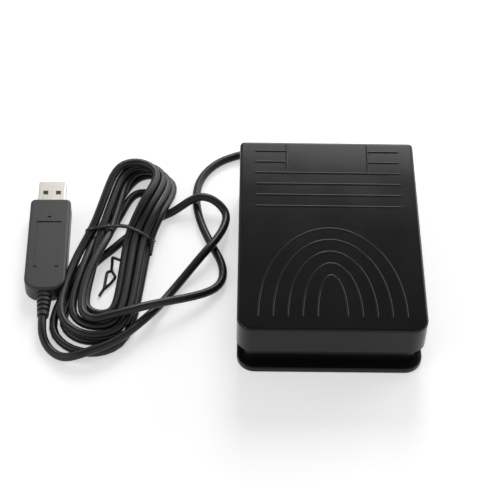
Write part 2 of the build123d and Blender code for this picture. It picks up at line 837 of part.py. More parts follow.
board_front = plug_front - shell_tail - board_gap
board_rear = board_front - board_length


def make_plug_board():
    return block(-board_width / 2, board_width / 2, board_rear, board_front, plug_wall,
                 plug_wall + board_thickness)


def make_plug_chip():
    z0 = plug_wall + board_thickness
    y = (board_front + board_rear) / 2
    chip = block(-chip_side / 2, chip_side / 2, y - chip_side / 2, y + chip_side / 2, z0, z0 + chip_height)
    return fillet(chip.edges().filter_by(Axis.Z), chip_height / 4)


def make_plug_crystal():
    z0 = plug_wall + board_thickness
    y = board_rear + crystal_width
    can = block(-crystal_length / 2, crystal_length / 2, y - crystal_width / 2, y + crystal_width / 2, z0,
                z0 + crystal_height)
    return fillet(can.edges().filter_by(Axis.Z), crystal_width * crystal_round_share)


def make_plug_relief():
    """Ribbed sleeve, tapering away from the plug."""
    start = -plug_front
    end = start - relief_length
    sleeve = Pos(0, (start + end) / 2, plug_mid) * Rot(90, 0, 0) * Cone(relief_root_radius,
                                                                       relief_end_radius, relief_length)
    for k in range(relief_rib_count):
        y = start - relief_length * (k + 1) / (relief_rib_count + 1)
        share = (start - y) / relief_length
        outer = relief_root_radius + (relief_end_radius - relief_root_radius) * share
        groove = rod_y(0, y - relief_rib_gap / 2, y + relief_rib_gap / 2, plug_mid, outer + relief_rib_gap)
        sleeve -= groove - rod_y(0, y - relief_rib_gap, y + relief_rib_gap, plug_mid,
                                 outer - relief_rib_depth)
    return sleeve - rod_y(0, end, start, plug_mid, cable_radius)


def make_plug_cable():
    """Cable inside the sleeve and the plug's tail, up to the board."""
    return rod_y(0, -plug_front - relief_length, board_rear - board_gap, plug_mid, cable_radius)


# Hank
def hank_place(u, v, z):
    """World place of a point across and along the hank."""
    lean = radians(hank_lean_deg)
    return Vector(hank_x + u * cos(lean) + v * sin(lean), hank_y - u * sin(lean) + v * cos(lean), z)


lay_z = cable_radius + floor_gap
upper_z = lay_z + layer_step
turns = 5
reverse_turn = turns / 2
eighth_count = 8
half_climb = 1 / (2 * eighth_count)


def layer_z(t):
    """Height of a turn: the upper layer first, then the lower, with a short climb down at the right of the waist."""
    if t <= reverse_turn - half_climb:
        return upper_z
    if t >= reverse_turn + half_climb:
        return lay_z
    return (upper_z + lay_z) / 2


def turn_point(t):
    """Place and plan heading of a turn, in turns from the left side of the waist."""
    inward = turn_step * abs(reverse_turn - t)
    corner = round((t % 1) * eighth_count, 3)
    z = layer_z(t)
    if corner == 0:
        return (waist_shift - (waist_half - inward), 0, z + tie_lift), (0, 1)
    if corner == 1:
        return (top_shift - (top_half - inward), top_centre, z), (0, 1)
    if corner == 2:
        return (top_shift, top_centre + top_half - inward, z + tie_lift), (1, 0)
    if corner == 3:
        return (top_shift + top_half - inward, top_centre, z + bundle_lift), (0, -1)
    if corner == 3.5:
        middle = (waist_shift + waist_half + top_shift + top_half) / 2
        lean = (top_shift + top_half - waist_shift - waist_half) / top_centre
        return (middle - inward, bundle_lift_start, z + bundle_lift), (-2 * lean, -1)
    if corner == 4:
        return (waist_shift + waist_half - inward, 0, z + tie_lift), (0, -1)
    if corner == 5:
        return (bottom_shift + bottom_half - inward, bottom_centre, z), (0, -1)
    if corner == 6:
        return (bottom_shift, bottom_centre - bottom_half + inward, z), (-1, 0)
    return (bottom_shift - bottom_half + inward, bottom_centre, z), (0, 1)


# The lead comes in over the turns at the lower right and joins the innermost one
hank_entry = [((25.0, -36.0, 8.9), (-0.84, -0.54)),
              ((16.5, -41.6, 11.2), (-0.84, -0.54)),
              ((9.0, -46.3, 11.1), (-0.88, -0.47)),
              ((1.2, -48.9, 9.7), (-1, 0)),
              ((-4.8, -41.0, 9.2), (0, 1))]
# It leaves across the upper loop, under the lifted right-hand turns
hank_exit = [((2.6, 12.6, 2.5), (0.60, 0.80)),
             ((9.2, 20.4, 2.1), (0.78, 0.62)),
             ((14.6, 24.4, 3.0), (0.81, 0.58))]


def hank_knots():
    """Places and headings along the whole hank; a heading rises as its neighbours do, or lies level on the floor."""
    corners = [0, 1, 2, 3, 3.5, 4, 5, 6, 7]
    knots = list(hank_entry)
    for n in range(turns):
        knots += [turn_point(n + c / eighth_count) for c in corners]
    knots.append(turn_point(turns))
    knots += hank_exit
    places = [hank_place(*k[0]) for k in knots]
    headings = []
    for i, (_, plan_heading) in enumerate(knots):
        before = places[max(i - 1, 0)]
        after = places[min(i + 1, len(places) - 1)]
        flat = hank_place(*plan_heading, 0) - hank_place(0, 0, 0)
        flat = Vector(flat.X, flat.Y, 0).normalized()
        span = after - before
        rise = 0
        if places[i].Z > lay_z:
            rise = span.Z / max(sqrt(span.X ** 2 + span.Y ** 2), cable_radius)
        headings.append(Vector(flat.X, flat.Y, rise).normalized())
    return places, headings


def biarc(p0, t0, p1, t1):
    """Two tangent arcs from one place and heading to another."""
    span = p1 - p0
    both = t0 + t1
    spread = 2 * (1 - t0.dot(t1))
    along = span.dot(both)
    if spread < no_turn:
        reach = span.dot(span) / (2 * along)
    else:
        reach = (-along + sqrt(along ** 2 + spread * span.dot(span))) / spread
    a = p0 + t0 * reach
    b = p1 - t1 * reach
    middle = (a + b) * 0.5
    heading = (b - a).normalized()
    return [Edge.make_tangent_arc(p0, t0, middle), Edge.make_tangent_arc(middle, heading, p1)]


def make_hank():
    places, headings = hank_knots()
    first = places[0] - headings[0] * cable_diameter
    last = places[-1] + headings[-1] * cable_diameter
    edges = [Edge.make_line(first, places[0])]
    for i in range(len(places) - 1):
        edges += biarc(places[i], headings[i], places[i + 1], headings[i + 1])
    edges.append(Edge.make_line(places[-1], last))
    path = Wire(edges)
    section = Plane(first, z_dir=headings[0]) * Circle(cable_radius)
    solid = sweep(section, path=path)
    samples = []
    run = 0.0
    for edge in edges:
        count = max(2, int(edge.length / cable_radius) + 1)
        for k in range(count):
            samples.append((run + edge.length * k / count, edge @ (k / count)))
        run += edge.length
    least = min((a[1] - b[1]).length for i, a in enumerate(samples) for b in samples[i + 1:]
                if b[0] - a[0] > own_run_share * cable_diameter)
    least_radius = min(e.radius for e in edges if e.geom_type == GeomType.CIRCLE)
    print("hank length", round(run, 1), "least gap", round(least - cable_diameter, 2), "least radius",
          round(least_radius, 2), "volume share", round(solid.volume / (section.area * run), 4),
          "lowest", round(solid.bounding_box().min.Z, 2))
    print("hank from", first, "to", last)
    return solid, first, headings[0], last, headings[-1]


def make_tie():
    """Twist tie round the waist, with its twisted ends laid along the bundle."""
    half_width = waist_half + cable_radius + tie_gap + tie_radius
    low = tie_lift + floor_gap - tie_gap - tie_radius
    high = upper_z + tie_lift + cable_radius + tie_gap + tie_radius
    centre = hank_place(waist_shift, 0, (low + high) / 2)
    lean = radians(hank_lean_deg)
    plane = Plane(centre, x_dir=(cos(lean), -sin(lean), 0), z_dir=(-sin(lean), -cos(lean), 0))
    ring = plane * RectangleRounded(2 * half_width, high - low, (high - low) / 3)
    path = ring.wire()
    section = Plane(path @ 0, z_dir=path % 0) * Circle(tie_radius)
    loop = sweep(section, path=path)
    side = half_width + waist_shift
    middle = (high + low) / 2
    twist = [hank_place(side, 0, middle),
             hank_place(side + tie_radius, -tie_twist_length / 3, high - (high - low) / 3),
             hank_place(side, -tie_twist_length, middle)]
    path = FilletPolyline(*twist, radius=tie_twist_bend)
    section = Plane(twist[0], z_dir=twist[1] - twist[0]) * Circle(tie_twist_radius)
    return loop + sweep(section, path=path)


# Free stretches of the lead, points chosen along its run on the floor
lead_route = [(-14.0, 62.2, 8.0), (-16.8, 70.6, 5.4), (-25.6, 74.6, 2.8), (-36.6, 70.9, 1.95),
              (-47.4, 64.4, 1.95), (-55.0, 54.5, 1.95), (-56.8, 43.0, 1.95), (-54.8, 30.0, 1.95),
              (-50.4, 17.0, 1.95), (-45.2, 5.0, 1.95), (-45.6, -5.4, 2.1), (-52.6, -13.4, 4.4)]
loop_route = [(-55.9, 43.6, 6.9), (-50.2, 43.7, 6.5), (-45.0, 40.3, 4.4), (-42.6, 33.5, 3.2),
              (-43.9, 23.5, 4.6), (-47.6, 14.8, 6.3), (-52.6, 7.6, 6.3), (-60.0, -1.6, 3.0),
              (-67.2, -11.2, 1.95), (-72.6, -20.6, 1.95), (-76.2, -31.4, 1.95), (-84.4, -42.0, 1.95),
              (-96.6, -47.2, 1.95), (-108.6, -47.2, 1.95), (-116.6, -41.8, 2.6)]


def make_lead(hank_start, hank_heading):
    gland_point = (gland_x, gland_end, gland_height)
    before = hank_start - hank_heading * straight_end_share * cable_diameter
    return tube([gland_point] + lead_route + [tuple(before), tuple(hank_start)], cable_radius, "lead")


def make_loop(hank_end, hank_heading):
    tip = -plug_front - relief_length
    end = (plug_place * Pos(0, tip, plug_mid)).position
    before = (plug_place * Pos(0, tip - straight_end_share * cable_diameter, plug_mid)).position
    after = hank_end + hank_heading * hank_end_share * cable_diameter
    return tube([tuple(hank_end), tuple(after)] + loop_route + [tuple(before), tuple(end)],
                cable_radius, "loop")


def build():
    hank, hank_start, start_heading, hank_end, end_heading = make_hank()
    upper, lower = make_plug_halves()
    nodes = {
        "pedal_cover": make_cover(),
        "base_tray": make_base(),
        "rubber_feet": make_feet(),
        "weight_plate": make_plate(),
        "weight_plate_screws": make_plate_screws(),
        "hinge_pins": make_pins(),
        "pin_clips": make_pin_clips(),
        "return_spring_left": make_spring(-1),
        "return_spring_right": make_spring(1),
        "stop_bumpers": make_bumpers(),
        "switch_body": make_switch_body(),
        "switch_lever": make_switch_lever(),
        "switch_plunger": make_switch_plunger(),
        "switch_terminals": make_terminals(),
        "switch_screws": make_switch_screws(),
        "cable_gland": make_gland(),
        "inner_cable": make_inner_cable(),
        "cable_clamp": make_clamp(),
        "clamp_screws": make_clamp_screws(),
        "wire_red": make_wire(1, 0),
        "wire_black": make_wire(-1, -1),
        "cord_lead": make_lead(hank_start, start_heading),
        "cord_hank": hank,
        "cord_loop": make_loop(hank_end, end_heading),
        "cord_tie": make_tie(),
        "plug_strain_relief": plug_place * make_plug_relief(),
        "plug_cable": plug_place * make_plug_cable(),
        "plug_housing_upper": plug_place * upper,
        "plug_housing_lower": plug_place * lower,
        "plug_shell": plug_place * make_plug_shell(),
        "plug_tongue": plug_place * make_plug_tongue(),
        "plug_contacts": [plug_place * c for c in make_plug_contacts()],
        "plug_board": plug_place * make_plug_board(),
        "plug_chip": plug_place * make_plug_chip(),
        "plug_crystal": plug_place * make_plug_crystal(),
    }
    return nodes


parts = build()
os.makedirs("parts", exist_ok=True)
for name, shape in parts.items():
    solids = shape if isinstance(shape, list) else [shape]
    whole = Compound([s for piece in solids for s in piece.solids()])
    export_step(whole, os.path.join("parts", name + ".step"))
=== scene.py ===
import json
import math

import bmesh
import bpy
from mathutils import Matrix, Vector


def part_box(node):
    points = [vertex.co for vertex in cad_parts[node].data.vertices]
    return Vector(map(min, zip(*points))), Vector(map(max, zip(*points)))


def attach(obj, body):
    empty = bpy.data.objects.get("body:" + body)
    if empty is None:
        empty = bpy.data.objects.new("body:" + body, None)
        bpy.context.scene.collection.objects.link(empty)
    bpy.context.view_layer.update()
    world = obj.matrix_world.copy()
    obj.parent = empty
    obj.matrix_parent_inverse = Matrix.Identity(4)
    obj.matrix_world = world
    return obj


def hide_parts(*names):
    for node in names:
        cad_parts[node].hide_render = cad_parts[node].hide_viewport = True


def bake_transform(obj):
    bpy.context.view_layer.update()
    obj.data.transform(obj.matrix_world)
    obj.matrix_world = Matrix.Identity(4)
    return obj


bl_info = {
    "name": "USB foot pedal switch",
    "version": (1, 0, 0),
    "blender": (4, 5, 0),
    "location": "View3D > Sidebar > Foot Pedal",
    "description": "Dresses the foot pedal's packed model: lead, tie, plastics, metals and stage",
    "category": "Object",
}

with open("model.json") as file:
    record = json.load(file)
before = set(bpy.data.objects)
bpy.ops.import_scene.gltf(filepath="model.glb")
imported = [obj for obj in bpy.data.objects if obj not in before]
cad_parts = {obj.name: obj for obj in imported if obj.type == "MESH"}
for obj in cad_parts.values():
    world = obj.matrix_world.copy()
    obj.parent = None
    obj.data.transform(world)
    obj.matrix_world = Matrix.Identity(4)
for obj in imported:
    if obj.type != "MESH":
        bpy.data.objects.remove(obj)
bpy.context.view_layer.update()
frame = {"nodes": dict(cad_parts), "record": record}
nodes = frame["nodes"]
mm = 0.001

# Lead: control points in millimetres. The free stretches' are in the part's frame, by the part's
# route and the photograph; the entry's and exit's are across, along and above the hank
LEAD_POINTS = [(-14.0, 62.2, 8.0), (-17.2, 69.2, 5.4), (-25.6, 71.6, 2.8), (-36.6, 69.4, 1.95),
               (-47.4, 64.4, 1.95), (-55.0, 54.5, 1.95), (-56.8, 43.0, 1.95), (-54.8, 30.0, 1.95),
               (-49.8, 17.0, 1.95), (-44.0, 5.2, 1.95), (-44.2, -5.2, 2.1), (-51.6, -13.0, 4.4)]
LOOP_POINTS = [(-56.8, 39.4, 6.9), (-50.6, 39.4, 6.7), (-45.4, 36.4, 4.8), (-42.6, 32.0, 3.2),
               (-43.9, 23.5, 4.6), (-47.6, 14.8, 6.3), (-52.6, 7.6, 6.3), (-60.0, -1.6, 3.0),
               (-65.6, -9.6, 1.95), (-70.4, -17.6, 2.8), (-74.1, -23.6, 4.6), (-78.5, -29.5, 5.7),
               (-85.1, -36.4, 5.9), (-91.7, -41.0, 5.9), (-97.4, -43.4, 5.9), (-103.0, -45.2, 4.8),
               (-108.4, -45.4, 3.0), (-112.8, -43.0, 1.95), (-116.8, -38.4, 1.95)]
LEAD_EXIT = (-14.0, 55.5, 8.0)
ENTRY_POINTS = [(22.0, -36.5, 9.6), (13.0, -43.0, 10.6), (6.0, -47.4, 10.6), (1.0, -50.0, 10.0),
                (-4.6, -47.6, 9.8), (-6.8, -39.6, 9.6), (-7.8, -30.0, 9.6),
                (-7.4, -20.0, 9.6), (-5.6, -6.4, 8.8)]
EXIT_POINTS = [(-11.4, -22.0, 1.95), (-8.0, -13.6, 1.95), (-3.2, -5.9, 1.95), (-0.3, -0.2, 1.95),
               (4.0, 6.4, 1.95), (8.5, 12.4, 1.95), (13.2, 17.4, 1.95), (17.4, 21.0, 2.1)]

# Lead at the plug: its last straight in diameters, and how far its end goes in, in millimetres
LAST_STRAIGHT = 2
PLUG_OVERLAP = 0.2

# Hank: for each turn, its bows' place across, place along, radius and height, and the place
# across and height of the runs between them, in the hank's frame
REAR_BOWS = [(3.0, 29.0, 9.8, 5.8), (-1.6, 26.4, 10.0, 12.6), (1.0, 28.2, 9.8, 9.2),
             (4.8, 29.5, 10.2, 2.1), (3.4, 21.2, 6.6, 3.0)]
FRONT_BOWS = [(-0.6, -40.0, 15.2, 6.3), (0.5, -36.0, 7.0, 5.0), (-0.1, -39.6, 11.0, 6.3),
              (-1.3, -43.8, 17.4, 1.95), (-1.3, -42.0, 13.4, 1.95)]
RIGHT_RUNS = [9.6, 13.6, 11.0, 6.8, 6.7]
RIGHT_WAIST = [(9.2, 7.0), (2.2, 6.4), (5.5, 7.4), (11.2, 3.6), (7.4, 3.5)]
LEFT_WAIST = [(-5.4, 6.6), (-13.3, 7.2), (-9.2, 7.8), (-11.4, 4.8), (-7.2, 2.4)]
LEFT_RUNS = [(-16.8, 5.4), (-8.0, 5.8), (-11.8, 6.4), (-15.0, 1.95)]

# Control points round each half circle of a bow
BOW_POINTS = 4

# Tie: the ring and knot across, along and above the hank, the bent end and tail in the part's frame
TIE_RING = [(-16.1, -1.4, 5.0), (-15.6, -2.2, 7.6), (-13.4, -3.0, 9.6), (-9.7, -1.6, 10.0),
            (-5.0, 0.5, 9.8), (1.4, 1.9, 9.6), (7.4, 0.1, 9.8), (10.8, -0.9, 8.8),
            (13.3, -0.8, 6.2), (13.7, 1.6, 3.0), (12.0, 5.0, 0.9), (6.0, 8.6, 0.75),
            (-3.0, 9.6, 0.75), (-11.0, 6.0, 0.75), (-15.4, 1.0, 1.6), (-16.1, -1.4, 5.0)]
TIE_KNOT = [(13.2, -0.8, 6.0), (13.4, -6.4, 3.6)]
TIE_END = [(-84.9, 4.4, 3.0), (-87.2, 5.6, 3.2), (-89.3, 6.3, 3.4), (-91.5, 7.3, 3.4),
           (-91.7, 6.9, 3.2), (-91.7, 4.7, 2.2), (-91.9, 1.8, 1.6), (-91.6, 1.2, 1.5),
           (-90.2, -1.4, 1.3), (-90.1, -1.9, 1.2), (-91.5, -4.5, 1.0), (-94.2, -7.7, 0.9),
           (-94.6, -7.9, 0.9), (-94.5, -7.2, 0.9), (-93.9, 0.3, 1.0), (-93.7, 0.9, 1.1),
           (-92.1, 1.3, 1.5)]
TIE_TAIL = [(-94.4, -6.9, 1.0), (-94.6, -7.9, 0.8), (-95.6, -9.7, 0.7), (-96.4, -11.6, 0.7)]

# Knot: turns of its two wires, their distance from its line as a share of a wire's radius, and the
# steps in one turn
KNOT_TURNS = 2.5
KNOT_SHARE = 0.85
KNOT_STEPS = 8

# Springs: the corners of the helix's control points in one turn
COIL_CORNERS = 8

# Surfaces: features of each pattern in one metre
FLOW_MARKS = 55.0
DUST_SPECKS = 180.0
DRAWN_LINES = 1500.0
BLOTCHES = 260.0
JACKET_WAVES = 95.0
JACKET_LINES = 2600.0
BOARD_WEAVE = 420.0

# World: strength of the scattered light, the sine of the heights between which the white sweep
# gives way to the ceiling, and the ceiling's own strength
SOFT_LIGHT = 0.32
SWEEP_TOP = (0.70, 0.80)
CEILING = 0.25

# Floor: half its side in metres, its grey, and the strength of its glow for the camera
FLOOR_HALF = 3.0
FLOOR_GREY = 0.8
FLOOR_GLOW = 0.5

# Lamps: name, place, aim, width and height in metres, power in watts
LAMPS = (
    ("rear_box", (0.06, 0.796, 0.594), (0.0, 0.0, 0.0), 0.36, 0.50, 4.7),
    ("left_box", (-1.1, -0.5, 1.0), (-0.04, 0.0, 0.0), 0.9, 0.9, 3.0),
    ("right_box", (0.95, 0.85, 0.45), (-0.04, 0.0, 0.0), 0.9, 0.6, 5.5),
)

# Camera: place in metres; turn, fall and roll in degrees; sensor width in millimetres
CAMERA_PLACE = (-0.04422, -0.42972, 0.54691)
CAMERA_TURN = 1.51
CAMERA_FALL = 50.87
CAMERA_ROLL = 1.83
SENSOR_WIDTH = 36.0


class PedalSizes(bpy.types.PropertyGroup):
    cable_diameter: bpy.props.FloatProperty(
        name="Lead diameter", description="Outer diameter of the lead's jacket",
        default=3.6 * mm, unit="LENGTH")
    hank_x: bpy.props.FloatProperty(
        name="Hank X", description="Middle of the hank, across", default=-87.5 * mm, unit="LENGTH")
    hank_y: bpy.props.FloatProperty(
        name="Hank Y", description="Middle of the hank, along", default=18.0 * mm, unit="LENGTH")
    hank_lean: bpy.props.FloatProperty(
        name="Hank lean", description="Turn of the hank about the vertical",
        default=math.radians(12.5), subtype="ANGLE")
    tie_wire: bpy.props.FloatProperty(
        name="Tie wire", description="Width of the tie's coated wire",
        default=1.35 * mm, unit="LENGTH")
    spring_wire: bpy.props.FloatProperty(
        name="Spring wire", description="Width of the return springs' wire",
        default=1.1 * mm, unit="LENGTH")
    spring_turns: bpy.props.FloatProperty(
        name="Spring turns", description="Turns of each return spring", default=6.5)
    camera_lens: bpy.props.FloatProperty(
        name="Camera lens", description="Focal length for the camera's sensor, in millimetres",
        default=116.72)


class PedalColours(bpy.types.PropertyGroup):
    cover: bpy.props.FloatVectorProperty(
        name="Cover", description="Moulded cover", default=(0.0050, 0.0050, 0.0052),
        subtype="COLOR", size=3)
    base: bpy.props.FloatVectorProperty(
        name="Base", description="Moulded base tray", default=(0.0070, 0.0070, 0.0073),
        subtype="COLOR", size=3)
    jacket: bpy.props.FloatVectorProperty(
        name="Lead jacket", description="Vinyl jacket of the lead",
        default=(0.0120, 0.0120, 0.0125), subtype="COLOR", size=3)
    plug: bpy.props.FloatVectorProperty(
        name="Plug body", description="Moulded plug housing", default=(0.0190, 0.0190, 0.0205),
        subtype="COLOR", size=3)
    nickel: bpy.props.FloatVectorProperty(
        name="Plug shell", description="Nickel-plated plug shell", default=(0.535, 0.51, 0.465),
        subtype="COLOR", size=3)
    floor: bpy.props.FloatVectorProperty(
        name="Floor", description="Floor as the camera sees it", default=(1.0, 1.0, 1.0),
        subtype="COLOR", size=3)


def sizes():
    return bpy.context.scene.pedal_sizes


def colours():
    return bpy.context.scene.pedal_colours


def add_node(tree, kind, **inputs):
    """Shader node with some of its inputs set by name."""
    node = tree.nodes.new(kind)
    for name, value in inputs.items():
        node.inputs[name.replace("_", " ")].default_value = value
    return node


def new_material(name, colour, roughness, metallic=0.0, specular=0.5):
    """Material with one principled shader, and its tree and shader."""
    material = bpy.data.materials.new(name)
    material.use_nodes = True
    shader = material.node_tree.nodes["Principled BSDF"]
    shader.inputs["Base Color"].default_value = (*colour, 1.0)
    shader.inputs["Roughness"].default_value = roughness
    shader.inputs["Metallic"].default_value = metallic
    shader.inputs["Specular IOR Level"].default_value = specular
    return material, material.node_tree, shader


def add_noise(tree, coordinate, scale, detail=2.0, roughness=0.5):
    """Noise texture on object coordinates, its scale in features per metre."""
    noise = add_node(tree, "ShaderNodeTexNoise", Scale=scale, Detail=detail, Roughness=roughness)
    tree.links.new(coordinate, noise.inputs["Vector"])
    return noise.outputs["Fac"]


def spread(tree, value, low, high):
    """Maps a 0 to 1 pattern on to a range."""
    node = add_node(tree, "ShaderNodeMapRange", To_Min=low, To_Max=high)
    tree.links.new(value, node.inputs["Value"])
    return node.outputs["Result"]


def tint(tree, colour, pattern, amount):
    """A colour that varies a little with a pattern, as linear light."""
    node = tree.nodes.new("ShaderNodeMix")
    node.data_type = "RGBA"
    node.inputs["A"].default_value = (*[c * (1 - amount) for c in colour], 1.0)
    node.inputs["B"].default_value = (*[c * (1 + amount) for c in colour], 1.0)
    tree.links.new(pattern, node.inputs["Factor"])
    return node.outputs["Result"]


def add_bump(tree, shader, height, strength, distance, after=None):
    """Bump on the shader's normal, optionally on top of another bump."""
    bump = add_node(tree, "ShaderNodeBump", Strength=strength, Distance=distance)
    tree.links.new(height, bump.inputs["Height"])
    if after is not None:
        tree.links.new(after, bump.inputs["Normal"])
    tree.links.new(bump.outputs["Normal"], shader.inputs["Normal"])
    return bump.outputs["Normal"]


def object_coordinate(tree):
    return tree.nodes.new("ShaderNodeTexCoord").outputs["Object"]


def moulded(name, colour, roughness, grain, depth, specular=0.5):
    """Injection-moulded plastic: fine spark-eroded grain, faint flow marks, uneven gloss."""
    material, tree, shader = new_material(name, colour, roughness, specular=specular)
    place = object_coordinate(tree)
    flow = add_noise(tree, place, FLOW_MARKS, detail=3.0)
    fine = add_noise(tree, place, grain, detail=3.0, roughness=0.6)
    tree.links.new(tint(tree, colour, flow, 0.12), shader.inputs["Base Color"])
    gloss = spread(tree, flow, roughness - 0.04, roughness + 0.04)
    tree.links.new(gloss, shader.inputs["Roughness"])
    add_bump(tree, shader, fine, 0.6, depth)
    return material


def rubber(name, colour, roughness, grain):
    """Soft rubber with a matt skin and a little dust."""
    material, tree, shader = new_material(name, colour, roughness, specular=0.35)
    place = object_coordinate(tree)
    skin = add_noise(tree, place, grain, detail=4.0, roughness=0.7)
    dust = add_noise(tree, place, DUST_SPECKS)
    tree.links.new(tint(tree, colour, dust, 0.25), shader.inputs["Base Color"])
    gloss = spread(tree, dust, roughness - 0.06, roughness + 0.06)
    tree.links.new(gloss, shader.inputs["Roughness"])
    add_bump(tree, shader, skin, 0.5, 0.03 * mm)
    return material


def metal(name, colour, roughness, along, depth, sway=0.27):
    """Drawn or rolled metal with fine lines along one direction, whose gloss varies by a share."""
    material, tree, shader = new_material(name, colour, roughness, metallic=1.0)
    place = object_coordinate(tree)
    mapping = add_node(tree, "ShaderNodeMapping", Scale=along)
    tree.links.new(place, mapping.inputs["Vector"])
    lines = add_noise(tree, mapping.outputs["Vector"], DRAWN_LINES, detail=3.0)
    blotch = add_noise(tree, place, BLOTCHES)
    tree.links.new(tint(tree, colour, blotch, 0.06), shader.inputs["Base Color"])
    gloss = spread(tree, lines, roughness * (1 - sway), roughness * (1 + sway))
    tree.links.new(gloss, shader.inputs["Roughness"])
    add_bump(tree, shader, lines, 0.35, depth)
    return material


def jacket(name, colour):
    """Extruded vinyl: smooth, a little glossy, faint lines and slow waviness along the lead."""
    material, tree, shader = new_material(name, colour, 0.34, specular=0.32)
    place = object_coordinate(tree)
    slow = add_noise(tree, place, JACKET_WAVES)
    fine = add_noise(tree, place, JACKET_LINES)
    tree.links.new(tint(tree, colour, slow, 0.15), shader.inputs["Base Color"])
    tree.links.new(spread(tree, slow, 0.29, 0.40), shader.inputs["Roughness"])
    first = add_bump(tree, shader, slow, 0.25, 0.12 * mm)
    add_bump(tree, shader, fine, 0.30, 0.01 * mm, after=first)
    return material


def laminate(name, colour):
    """Glass-fibre board under a glossy solder mask, with a faint weave."""
    material, tree, shader = new_material(name, colour, 0.3)
    place = object_coordinate(tree)
    waves = []
    for turn in (0.0, math.pi / 2):
        mapping = add_node(tree, "ShaderNodeMapping", Rotation=(0, 0, turn))
        wave = add_node(tree, "ShaderNodeTexWave", Scale=BOARD_WEAVE, Distortion=0.3)
        tree.links.new(place, mapping.inputs["Vector"])
        tree.links.new(mapping.outputs["Vector"], wave.inputs["Vector"])
        waves.append(wave.outputs["Fac"])
    both = tree.nodes.new("ShaderNodeMath")
    both.operation = "MULTIPLY"
    tree.links.new(waves[0], both.inputs[0])
    tree.links.new(waves[1], both.inputs[1])
    tree.links.new(tint(tree, colour, both.outputs[0], 0.2), shader.inputs["Base Color"])
    add_bump(tree, shader, both.outputs[0], 0.3, 0.02 * mm)
    return material


MATERIALS = {}


def make_materials():
    """One material for each of the record's slots."""
    c = colours()
    black = tuple(c.base)
    MATERIALS.update({
        "cover_plastic": moulded("CoverPlastic", tuple(c.cover), 0.15, 3200.0, 0.004 * mm,
                                 specular=0.25),
        "base_plastic": moulded("BasePlastic", black, 0.22, 2800.0, 0.006 * mm, specular=0.2),
        "foot_rubber": rubber("FootRubber", (0.012, 0.012, 0.012), 0.75, 2400.0),
        "ballast_steel": metal("BallastSteel", (0.42, 0.42, 0.43), 0.35, (1.0, 0.06, 1.0),
                               0.02 * mm),
        "screw_steel": metal("ScrewSteel", (0.50, 0.50, 0.50), 0.28, (1.0, 1.0, 0.2), 0.01 * mm),
        "pin_steel": metal("PinSteel", (0.58, 0.58, 0.58), 0.2, (0.05, 1.0, 1.0), 0.01 * mm),
        "spring_steel": metal("SpringSteel", (0.36, 0.36, 0.37), 0.3, (1.0, 1.0, 0.4), 0.01 * mm),
        "switch_plastic": moulded("SwitchPlastic", (0.011, 0.011, 0.013), 0.38, 3600.0, 0.01 * mm),
        "plunger_plastic": moulded("PlungerPlastic", (0.35, 0.015, 0.01), 0.35, 3600.0, 0.01 * mm),
        "contact_brass": metal("TinnedBrass", (0.62, 0.52, 0.30), 0.3, (1.0, 1.0, 0.2), 0.01 * mm),
        "contact_gold": metal("ContactGold", (0.83, 0.60, 0.22), 0.22, (1.0, 0.1, 1.0), 0.005 * mm),
        "cable_jacket": jacket("LeadJacket", tuple(c.jacket)),
        "wire_red_jacket": jacket("RedWireJacket", (0.30, 0.008, 0.006)),
        "wire_black_jacket": jacket("BlackWireJacket", (0.010, 0.010, 0.010)),
        "tie_plastic": moulded("TieCoating", (0.010, 0.010, 0.011), 0.30, 1800.0, 0.02 * mm),
        "plug_plastic": moulded("PlugPlastic", tuple(c.plug), 0.44, 3000.0, 0.02 * mm),
        "shell_nickel": metal("PlugNickel", tuple(c.nickel), 0.28, (1.0, 0.04, 1.0),
                              0.0002 * mm, sway=0.08),
        "tongue_plastic": moulded("TonguePlastic", (0.012, 0.012, 0.012), 0.45, 3000.0, 0.01 * mm),
        "board_laminate": laminate("BoardLaminate", (0.012, 0.13, 0.045)),
        "chip_epoxy": moulded("ChipEpoxy", (0.010, 0.010, 0.010), 0.55, 4000.0, 0.01 * mm),
    })


def give(piece, slot_name):
    """Puts the slot's material on a piece's every material slot."""
    material = MATERIALS[slot_name]
    if not piece.data.materials:
        piece.data.materials.append(material)
    for place in piece.material_slots:
        place.material = material


def hank_point(u, v, z):
    """Place in the shared frame of a point across and along the hank, in metres."""
    s = sizes()
    return Vector((s.hank_x + u * math.cos(s.hank_lean) + v * math.sin(s.hank_lean),
                   s.hank_y - u * math.sin(s.hank_lean) + v * math.cos(s.hank_lean), z))


def bow(across, along, radius, side):
    """Control points round a half circle, over the rear (side 1) or the front (side -1)."""
    corner = radius / math.cos(math.pi / (2 * BOW_POINTS))
    angles = [math.pi * (k + 0.5) / BOW_POINTS for k in range(BOW_POINTS)]
    return [(across - side * corner * math.cos(a), along + side * corner * math.sin(a))
            for a in angles]


def turn_points(turn):
    """Control points of one turn, from the left of the waist to the front bow's left end."""
    *rear, rear_height = REAR_BOWS[turn]
    *front, front_height = FRONT_BOWS[turn]
    left, left_height = LEFT_WAIST[turn]
    right, right_height = RIGHT_WAIST[turn]
    rear_plan = bow(*rear, 1)
    front_plan = bow(*front, -1)
    points = [(left, 0.0, left_height),
              ((left + rear_plan[0][0]) / 2, rear[1] / 2, (left_height + rear_height) / 2)]
    points += [(u, v, rear_height) for u, v in rear_plan]
    points += [((right + rear_plan[-1][0]) / 2, rear[1] / 2, RIGHT_RUNS[turn]),
               (right, 0.0, right_height),
               ((right + front_plan[0][0]) / 2, front[1] / 2, (right_height + front_height) / 2)]
    points += [(u, v, front_height) for u, v in front_plan]
    if turn + 1 < len(LEFT_WAIST):
        run, run_height = LEFT_RUNS[turn]
        points.append((run, front[1] / 2, run_height))
    return points


